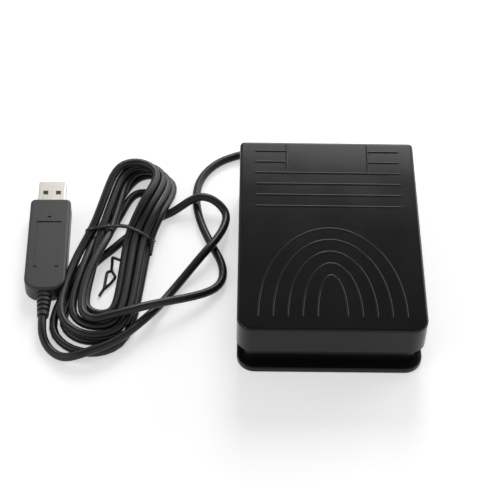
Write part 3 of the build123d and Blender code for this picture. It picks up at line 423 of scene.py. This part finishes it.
def hank_route():
    """Control points of the hank: in over the turns, round them, and out under the right runs."""
    points = list(ENTRY_POINTS)
    for turn in range(len(REAR_BOWS)):
        points += turn_points(turn)
    points += EXIT_POINTS
    return [hank_point(u * mm, v * mm, z * mm) for u, v, z in points]


def add_spline(curve, points):
    """Open spline whose control points are given, added to a curve."""
    spline = curve.splines.new("NURBS")
    spline.points.add(len(points) - 1)
    for point, place in zip(spline.points, points):
        point.co = (*place, 1.0)
    spline.order_u = 3
    spline.use_endpoint_u = True


def spline_object(name, points, radius, resolution=4, sides=6):
    """Round tube on one open spline."""
    curve = bpy.data.curves.new(name, "CURVE")
    curve.dimensions = "3D"
    curve.bevel_depth = radius
    curve.bevel_resolution = sides
    curve.use_fill_caps = True
    curve.resolution_u = resolution
    curve.render_resolution_u = resolution
    add_spline(curve, points)
    made = bpy.data.objects.new(name, curve)
    bpy.context.scene.collection.objects.link(made)
    return made


class PEDAL_OT_lead(bpy.types.Operator):
    """Lead from the gland through the hank to the plug"""
    bl_idname = "pedal.lead"
    bl_label = "Lead"

    def execute(self, context):
        s = sizes()
        plug_low, plug_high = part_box("plug_strain_relief")
        tip = Vector(((plug_low.x + plug_high.x) / 2, plug_low.y, (plug_low.z + plug_high.z) / 2))
        points = [Vector(LEAD_EXIT) * mm]
        points += [Vector(p) * mm for p in LEAD_POINTS]
        points += hank_route()
        points += [Vector(p) * mm for p in LOOP_POINTS]
        points += [tip - Vector((0.0, LAST_STRAIGHT * s.cable_diameter, 0.0)),
                   tip + Vector((0.0, PLUG_OVERLAP * mm, 0.0))]
        lead = spline_object("lead", points, s.cable_diameter / 2)
        give(lead, "cable_jacket")
        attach(lead, "base")
        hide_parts("cord_lead", "cord_hank", "cord_loop")
        return {"FINISHED"}


def twisted_pair(start, end, radius, turns):
    """Centrelines of two wires twisted round a straight line."""
    along = end - start
    across = along.orthogonal().normalized()
    other = along.normalized().cross(across)
    pair = []
    for phase in (0.0, math.pi):
        steps = range(int(turns * KNOT_STEPS) + 1)
        angles = [2 * math.pi * turns * k / steps[-1] + phase for k in steps]
        pair.append([start + along * (k / steps[-1])
                     + (across * math.cos(a) + other * math.sin(a)) * radius
                     for k, a in zip(steps, angles)])
    return pair


class PEDAL_OT_tie(bpy.types.Operator):
    """Twist tie round the hank's waist, knotted at its right, its bent end in the hank's hole"""
    bl_idname = "pedal.tie"
    bl_label = "Tie"

    def execute(self, context):
        s = sizes()
        thick = s.tie_wire / 2
        ring = [hank_point(u * mm, v * mm, z * mm) for u, v, z in TIE_RING]
        bent = [Vector(p) * mm for p in TIE_END]
        tail = [Vector(p) * mm for p in TIE_TAIL]
        start, end = [hank_point(*[c * mm for c in p]) for p in TIE_KNOT]
        knot = twisted_pair(start, end, thick * KNOT_SHARE, KNOT_TURNS)
        tie = spline_object("tie", ring, thick, resolution=6, sides=3)
        for line in (*knot, bent, tail):
            add_spline(tie.data, line)
        give(tie, "tie_plastic")
        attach(tie, "base")
        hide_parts("cord_tie")
        return {"FINISHED"}


def helix(middle, radius, low, high, turns):
    """Control points of an upright helix whose curve has that radius."""
    corner = radius / math.cos(math.pi / COIL_CORNERS)
    steps = round(turns * COIL_CORNERS)
    return [Vector((middle.x + corner * math.cos(2 * math.pi * k / COIL_CORNERS),
                    middle.y + corner * math.sin(2 * math.pi * k / COIL_CORNERS),
                    low + (high - low) * k / steps)) for k in range(steps + 1)]


class PEDAL_OT_springs(bpy.types.Operator):
    """Return springs, each a coiled wire in the place of the imported spring it replaces"""
    bl_idname = "pedal.springs"
    bl_label = "Return springs"

    def execute(self, context):
        thick = sizes().spring_wire / 2
        for side in ("left", "right"):
            low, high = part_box("return_spring_" + side)
            middle = (low + high) / 2
            points = helix(middle, (high.x - low.x) / 2 - thick, low.z + thick, high.z - thick,
                           sizes().spring_turns)
            line = spline_object("spring_line", points, thick, sides=3)
            spring = bpy.data.objects.new("spring_" + side, bpy.data.meshes.new_from_object(line))
            bpy.context.scene.collection.objects.link(spring)
            bpy.data.objects.remove(line)
            give(spring, "spring_steel")
            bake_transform(spring)
            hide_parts("return_spring_" + side)
        return {"FINISHED"}


class PEDAL_OT_finishes(bpy.types.Operator):
    """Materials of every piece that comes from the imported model"""
    bl_idname = "pedal.finishes"
    bl_label = "Finishes"

    def execute(self, context):
        make_materials()
        for part in frame["record"]["subparts"]:
            give(nodes[part["node"]], part["material_slot"])
        return {"FINISHED"}


class PEDAL_OT_stage(bpy.types.Operator):
    """Floor, lamps, world and the camera at the photograph's place"""
    bl_idname = "pedal.stage"
    bl_label = "Stage"

    def execute(self, context):
        make_floor()
        make_world()
        make_lamps()
        make_camera()
        return {"FINISHED"}


def seen_ray(tree):
    """One for a ray from the camera, a mirror or glass, and nothing for scattered light."""
    path = tree.nodes.new("ShaderNodeLightPath")
    most = path.outputs["Is Camera Ray"]
    for name in ("Is Glossy Ray", "Is Transmission Ray"):
        either = tree.nodes.new("ShaderNodeMath")
        either.operation = "MAXIMUM"
        tree.links.new(most, either.inputs[0])
        tree.links.new(path.outputs[name], either.inputs[1])
        most = either.outputs[0]
    return most


def make_floor():
    """Large pale floor that looks white to the camera."""
    mesh = bpy.data.meshes.new("floor")
    shape = bmesh.new()
    bmesh.ops.create_grid(shape, x_segments=1, y_segments=1, size=FLOOR_HALF)
    shape.to_mesh(mesh)
    shape.free()
    floor = bpy.data.objects.new("floor", mesh)
    bpy.context.scene.collection.objects.link(floor)
    material = bpy.data.materials.new("Floor")
    material.use_nodes = True
    tree = material.node_tree
    tree.nodes.clear()
    output = tree.nodes.new("ShaderNodeOutputMaterial")
    grey = (FLOOR_GREY, FLOOR_GREY, FLOOR_GREY, 1.0)
    diffuse = add_node(tree, "ShaderNodeBsdfDiffuse", Color=grey)
    glow = add_node(tree, "ShaderNodeEmission", Color=(*colours().floor, 1.0), Strength=FLOOR_GLOW)
    both = tree.nodes.new("ShaderNodeAddShader")
    mix = tree.nodes.new("ShaderNodeMixShader")
    tree.links.new(diffuse.outputs[0], both.inputs[0])
    tree.links.new(glow.outputs[0], both.inputs[1])
    tree.links.new(seen_ray(tree), mix.inputs[0])
    tree.links.new(diffuse.outputs[0], mix.inputs[1])
    tree.links.new(both.outputs[0], mix.inputs[2])
    tree.links.new(mix.outputs[0], output.inputs["Surface"])
    mesh.materials.append(material)


def make_world():
    """Grey scattered light; the camera sees white, and gloss a white sweep under a dark ceiling."""
    world = bpy.data.worlds.new("Studio")
    bpy.context.scene.world = world
    world.use_nodes = True
    tree = world.node_tree
    tree.nodes.clear()
    output = tree.nodes.new("ShaderNodeOutputWorld")
    direction = tree.nodes.new("ShaderNodeSeparateXYZ")
    tree.links.new(tree.nodes.new("ShaderNodeTexCoord").outputs["Generated"], direction.inputs[0])
    sweep = add_node(tree, "ShaderNodeMapRange", From_Min=SWEEP_TOP[0], From_Max=SWEEP_TOP[1],
                     To_Min=1.0, To_Max=CEILING)
    sweep.interpolation_type = "SMOOTHSTEP"
    tree.links.new(direction.outputs["Z"], sweep.inputs["Value"])
    soft = add_node(tree, "ShaderNodeBackground", Color=(1.0, 1.0, 1.0, 1.0), Strength=SOFT_LIGHT)
    studio = add_node(tree, "ShaderNodeBackground", Color=(1.0, 1.0, 1.0, 1.0))
    tree.links.new(sweep.outputs["Result"], studio.inputs["Strength"])
    white = add_node(tree, "ShaderNodeBackground", Color=(1.0, 1.0, 1.0, 1.0), Strength=1.0)
    path = tree.nodes.new("ShaderNodeLightPath")
    gloss = tree.nodes.new("ShaderNodeMixShader")
    tree.links.new(seen_ray(tree), gloss.inputs[0])
    tree.links.new(soft.outputs[0], gloss.inputs[1])
    tree.links.new(studio.outputs[0], gloss.inputs[2])
    mix = tree.nodes.new("ShaderNodeMixShader")
    tree.links.new(path.outputs["Is Camera Ray"], mix.inputs[0])
    tree.links.new(gloss.outputs[0], mix.inputs[1])
    tree.links.new(white.outputs[0], mix.inputs[2])
    tree.links.new(mix.outputs[0], output.inputs["Surface"])


def make_lamp(name, place, aim, width, height, power):
    """Soft box pointed at a place."""
    light = bpy.data.lights.new(name, "AREA")
    light.shape = "RECTANGLE"
    light.size = width
    light.size_y = height
    light.energy = power
    lamp = bpy.data.objects.new(name, light)
    lamp.location = place
    lamp.rotation_mode = "QUATERNION"
    lamp.rotation_quaternion = (Vector(aim) - Vector(place)).to_track_quat("-Z", "Y")
    bpy.context.scene.collection.objects.link(lamp)


def make_lamps():
    """One soft box behind, whose upper edge fades over the cover, and one at each side."""
    for lamp in LAMPS:
        make_lamp(*lamp)


def make_camera():
    """Camera at the photograph's place, fitted to the pedal's edges, ridges and plug."""
    place = Vector(CAMERA_PLACE)
    turn = math.radians(CAMERA_TURN)
    fall = math.radians(CAMERA_FALL)
    roll = math.radians(CAMERA_ROLL)
    forward = Vector((math.sin(turn) * math.cos(fall), math.cos(turn) * math.cos(fall),
                      -math.sin(fall)))
    right = Vector((math.cos(turn), -math.sin(turn), 0.0))
    up = right.cross(forward)
    rolled_right = right * math.cos(roll) + up * math.sin(roll)
    rolled_up = up * math.cos(roll) - right * math.sin(roll)
    data = bpy.data.cameras.new("camera")
    data.sensor_width = SENSOR_WIDTH
    data.lens = sizes().camera_lens
    camera = bpy.data.objects.new("camera", data)
    camera.matrix_world = Matrix((
        (rolled_right.x, rolled_up.x, -forward.x, place.x),
        (rolled_right.y, rolled_up.y, -forward.y, place.y),
        (rolled_right.z, rolled_up.z, -forward.z, place.z),
        (0.0, 0.0, 0.0, 1.0)))
    bpy.context.scene.collection.objects.link(camera)
    bpy.context.scene.camera = camera
    bpy.context.scene.view_settings.view_transform = "Standard"


class PEDAL_PT_panel(bpy.types.Panel):
    """Sizes, colours and the steps that dress the pedal"""
    bl_idname = "PEDAL_PT_panel"
    bl_label = "Foot Pedal"
    bl_space_type = "VIEW_3D"
    bl_region_type = "UI"
    bl_category = "Foot Pedal"

    def draw(self, context):
        for group in (context.scene.pedal_sizes, context.scene.pedal_colours):
            for name in group.bl_rna.properties.keys():
                if name not in ("rna_type", "name"):
                    self.layout.prop(group, name)
        for step in STEPS:
            self.layout.operator(step.bl_idname)


STEPS = (PEDAL_OT_finishes, PEDAL_OT_stage, PEDAL_OT_tie, PEDAL_OT_lead, PEDAL_OT_springs)
CLASSES = (PedalSizes, PedalColours, *STEPS, PEDAL_PT_panel)


def register():
    for cls in CLASSES:
        bpy.utils.register_class(cls)
    bpy.types.Scene.pedal_sizes = bpy.props.PointerProperty(type=PedalSizes)
    bpy.types.Scene.pedal_colours = bpy.props.PointerProperty(type=PedalColours)


def unregister():
    del bpy.types.Scene.pedal_colours
    del bpy.types.Scene.pedal_sizes
    for cls in reversed(CLASSES):
        bpy.utils.unregister_class(cls)


def main():
    register()
    bpy.ops.pedal.finishes()
    bpy.ops.pedal.stage()
    bpy.ops.pedal.tie()
    bpy.ops.pedal.lead()
    bpy.ops.pedal.springs()


if __name__ == "__main__":
    main()
